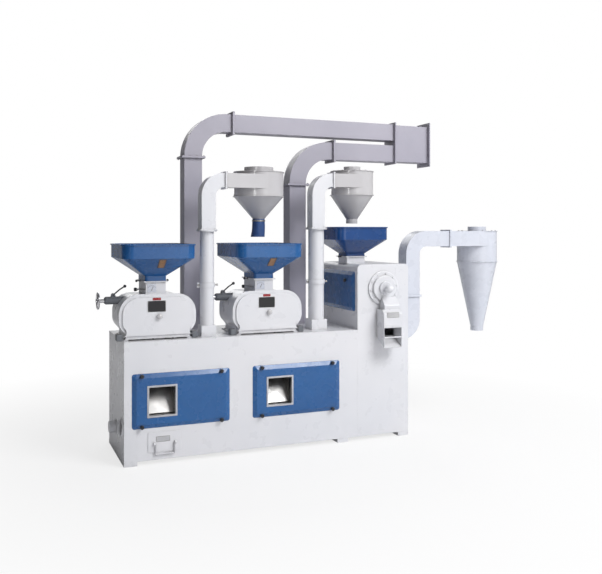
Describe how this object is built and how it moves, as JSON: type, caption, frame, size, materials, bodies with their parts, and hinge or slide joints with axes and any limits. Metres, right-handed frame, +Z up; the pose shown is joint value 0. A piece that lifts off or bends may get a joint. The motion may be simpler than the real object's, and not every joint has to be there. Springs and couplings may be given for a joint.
{
  "type": "rice huller",
  "caption": "Combined rice huller line: rubber-roll hulling heads with hoppers on a cabinet, a whitener, lift pipes, cyclones and suction ducts.",
  "frame": {"origin": "on the floor at the centre of the anchor-hole rectangle", "axes": "+X along the row to the whitener end, +Y to the back, +Z up"},
  "size_m": [3.368, 0.84, 2.557],
  "materials": {
    "white_paint": "gloss",
    "blue_paint": "gloss",
    "duct_grey": "satin",
    "motor_paint": "satin",
    "bright_steel": "brushed",
    "chrome": "polished",
    "cast_grey": "matte",
    "black_knob": "gloss",
    "roll_rubber": "matte",
    "black_rubber": "matte",
    "blue_sleeve": "satin"
  },
  "bodies": {
    "root": {"base_frame": "white_paint", "front_panel": "white_paint", "side_and_rear_panel": "white_paint", "deck_plate": "white_paint", "whitener_cabinet": "white_paint", "side_ports": "white_paint", "grain_chutes": "bright_steel", "adjuster_bodies": "cast_grey", "whitener_hopper": "blue_paint", "whitener_neck": "white_paint", "whitener_end_cover": "white_paint", "outlet_chute": "white_paint", "whitener_barrel": "cast_grey", "lift_pipe_1": "white_paint", "lift_pipe_2": "white_paint", "cyclone_1": "white_paint", "cyclone_2": "white_paint", "cyclone_3": "white_paint", "grain_sleeve": "blue_sleeve", "suction_duct_1": "duct_grey", "suction_duct_2": "duct_grey", "collector": "duct_grey", "bran_duct": "white_paint", "motors": "motor_paint", "drive_belts": "black_rubber", "huller_housing_1": "white_paint", "feed_neck_1": "white_paint", "hopper_1": "blue_paint", "huller_housing_2": "white_paint", "feed_neck_2": "white_paint", "hopper_2": "blue_paint"},
    "access_cover_1": {"access_cover_1": "blue_paint", "cover_knobs_1": "black_knob", "window_frame_1": "bright_steel"},
    "access_cover_2": {"access_cover_2": "blue_paint", "cover_knobs_2": "black_knob", "window_frame_2": "bright_steel"},
    "side_cover": {"side_cover": "blue_paint", "side_cover_knob": "black_knob"},
    "drawer": {"cleanout_drawer": "white_paint"},
    "drawer_handle": {"drawer_handle": "bright_steel"},
    "huller_cover_1": {"huller_cover_1": "white_paint"},
    "fast_roll_1": {"fast_roll_1": "roll_rubber"},
    "roll_arm_1": {"roll_arm_1": "cast_grey"},
    "slow_roll_1": {"slow_roll_1": "roll_rubber"},
    "handwheel_1": {"handwheel_1": "chrome"},
    "engaging_lever_1": {"engaging_lever_1": "black_knob"},
    "feed_gate_1": {"feed_gate_1": "bright_steel"},
    "motor_pulley_1": {"motor_pulley_1": "cast_grey"},
    "huller_cover_2": {"huller_cover_2": "white_paint"},
    "fast_roll_2": {"fast_roll_2": "roll_rubber"},
    "roll_arm_2": {"roll_arm_2": "cast_grey"},
    "slow_roll_2": {"slow_roll_2": "roll_rubber"},
    "handwheel_2": {"handwheel_2": "chrome"},
    "engaging_lever_2": {"engaging_lever_2": "black_knob"},
    "feed_gate_2": {"feed_gate_2": "bright_steel"},
    "motor_pulley_2": {"motor_pulley_2": "cast_grey"},
    "whitener_roller": {"whitener_roller": "cast_grey"},
    "motor_pulley_3": {"motor_pulley_3": "cast_grey"},
    "pressure_knob": {"pressure_knob": "white_paint"}
  },
  "joints": [
    {"name": "access_cover_1_off", "type": "slide", "parent": "root", "child": "access_cover_1", "axis": [0, -1, 0], "range_m": [0, 0.25]},
    {"name": "access_cover_2_off", "type": "slide", "parent": "root", "child": "access_cover_2", "axis": [0, -1, 0], "range_m": [0, 0.25]},
    {"name": "side_cover_off", "type": "slide", "parent": "root", "child": "side_cover", "axis": [-1, 0, 0], "range_m": [0, 0.12]},
    {"name": "drawer_slide", "type": "slide", "parent": "root", "child": "drawer", "axis": [0, -1, 0], "range_m": [0, 0.3]},
    {"name": "handle_swing", "type": "hinge", "parent": "drawer", "child": "drawer_handle", "pos_m": [-0.8295, -0.353, 0.142], "axis": [-1, 0, 0], "range_deg": [0, 95]},
    {"name": "huller_cover_1_off", "type": "slide", "parent": "root", "child": "huller_cover_1", "axis": [0, -1, 0], "range_m": [0, 0.2]},
    {"name": "fast_roll_1_spin", "type": "hinge", "parent": "root", "child": "fast_roll_1", "pos_m": [-0.7512, -0.15, 1.01], "axis": [0, 1, 0], "continuous": true},
    {"name": "roll_arm_1_swing", "type": "hinge", "parent": "root", "child": "roll_arm_1", "pos_m": [-0.9905, -0.025, 0.884], "axis": [0, -1, 0], "range_deg": [0, 2.5]},
    {"name": "slow_roll_1_spin", "type": "hinge", "parent": "roll_arm_1", "child": "slow_roll_1", "pos_m": [-0.9738, -0.15, 1.01], "axis": [0, 1, 0], "continuous": true},
    {"name": "handwheel_1_turn", "type": "hinge", "parent": "root", "child": "handwheel_1", "pos_m": [-1.2405, -0.04, 1.112], "axis": [1, 0, 0], "range_deg": [0, 1440]},
    {"name": "engaging_lever_1_throw", "type": "hinge", "parent": "root", "child": "engaging_lever_1", "pos_m": [-1.1345, -0.04, 1.15], "axis": [0, -1, 0], "range_deg": [0, 75]},
    {"name": "feed_gate_1_slide", "type": "slide", "parent": "root", "child": "feed_gate_1", "axis": [-1, 0, 0], "range_m": [0, 0.12]},
    {"name": "motor_pulley_1_spin", "type": "hinge", "parent": "root", "child": "motor_pulley_1", "pos_m": [-0.7512, 0.07, 0.212], "axis": [0, 1, 0], "continuous": true},
    {"name": "huller_cover_2_off", "type": "slide", "parent": "root", "child": "huller_cover_2", "axis": [0, -1, 0], "range_m": [0, 0.2]},
    {"name": "fast_roll_2_spin", "type": "hinge", "parent": "root", "child": "fast_roll_2", "pos_m": [0.0618, -0.15, 1.01], "axis": [0, 1, 0], "continuous": true},
    {"name": "roll_arm_2_swing", "type": "hinge", "parent": "root", "child": "roll_arm_2", "pos_m": [-0.1775, -0.025, 0.884], "axis": [0, -1, 0], "range_deg": [0, 2.5]},
    {"name": "slow_roll_2_spin", "type": "hinge", "parent": "roll_arm_2", "child": "slow_roll_2", "pos_m": [-0.1608, -0.15, 1.01], "axis": [0, 1, 0], "continuous": true},
    {"name": "handwheel_2_turn", "type": "hinge", "parent": "root", "child": "handwheel_2", "pos_m": [-0.4275, -0.04, 1.112], "axis": [1, 0, 0], "range_deg": [0, 1440]},
    {"name": "engaging_lever_2_throw", "type": "hinge", "parent": "root", "child": "engaging_lever_2", "pos_m": [-0.3215, -0.04, 1.15], "axis": [0, -1, 0], "range_deg": [0, 75]},
    {"name": "feed_gate_2_slide", "type": "slide", "parent": "root", "child": "feed_gate_2", "axis": [-1, 0, 0], "range_m": [0, 0.12]},
    {"name": "motor_pulley_2_spin", "type": "hinge", "parent": "root", "child": "motor_pulley_2", "pos_m": [0.0618, 0.07, 0.212], "axis": [0, 1, 0], "continuous": true},
    {"name": "whitener_roller_spin", "type": "hinge", "parent": "root", "child": "whitener_roller", "pos_m": [0.8825, -0.15, 1.165], "axis": [0, 1, 0], "continuous": true},
    {"name": "motor_pulley_3_spin", "type": "hinge", "parent": "root", "child": "motor_pulley_3", "pos_m": [0.8825, 0.07, 0.212], "axis": [0, 1, 0], "continuous": true},
    {"name": "pressure_knob_turn", "type": "hinge", "parent": "root", "child": "pressure_knob", "pos_m": [0.8825, -0.42, 1.165], "axis": [0, -1, 0], "range_deg": [0, 720]}
  ],
  "couplings": [
    {"joint": "slow_roll_1_spin", "follows": "fast_roll_1_spin", "ratio": -0.78},
    {"joint": "motor_pulley_1_spin", "follows": "fast_roll_1_spin", "ratio": 1.3636},
    {"joint": "roll_arm_1_swing", "follows": "handwheel_1_turn", "ratio": 0.0017},
    {"joint": "slow_roll_2_spin", "follows": "fast_roll_2_spin", "ratio": -0.78},
    {"joint": "motor_pulley_2_spin", "follows": "fast_roll_2_spin", "ratio": 1.3636},
    {"joint": "roll_arm_2_swing", "follows": "handwheel_2_turn", "ratio": 0.0017},
    {"joint": "motor_pulley_3_spin", "follows": "whitener_roller_spin", "ratio": 1.3636}
  ]
}
